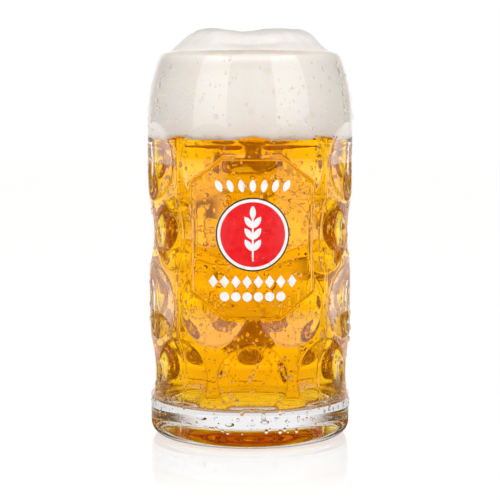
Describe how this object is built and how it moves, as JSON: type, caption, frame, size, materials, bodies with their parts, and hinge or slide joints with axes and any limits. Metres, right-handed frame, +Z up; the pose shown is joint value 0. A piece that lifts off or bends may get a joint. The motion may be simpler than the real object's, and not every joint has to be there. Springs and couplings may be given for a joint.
{
  "type": "beer mug",
  "caption": "Tall dimpled glass beer mug with a thick base, a handle and a plain printed front panel, full of lager under a domed head of foam.",
  "frame": {"origin": "on the axis of the mug, in the plane it stands on", "axes": "+Z up along the axis of the mug, -Y out of the printed front panel, +Y towards the handle"},
  "size_m": [0.1076, 0.1573, 0.213],
  "materials": {
    "glass": "clear polished soda-lime glass",
    "beer": "clear golden lager",
    "foam": "matt creamy froth",
    "red_enamel": "gloss fired enamel",
    "white_enamel": "gloss fired enamel",
    "black_enamel": "gloss fired enamel"
  },
  "bodies": {
    "root": {"glass_body": "glass", "handle": "glass", "beer": "beer", "foam_head": "foam", "print_red": "red_enamel", "print_white": "white_enamel", "print_black": "black_enamel"}
  },
  "joints": []
}
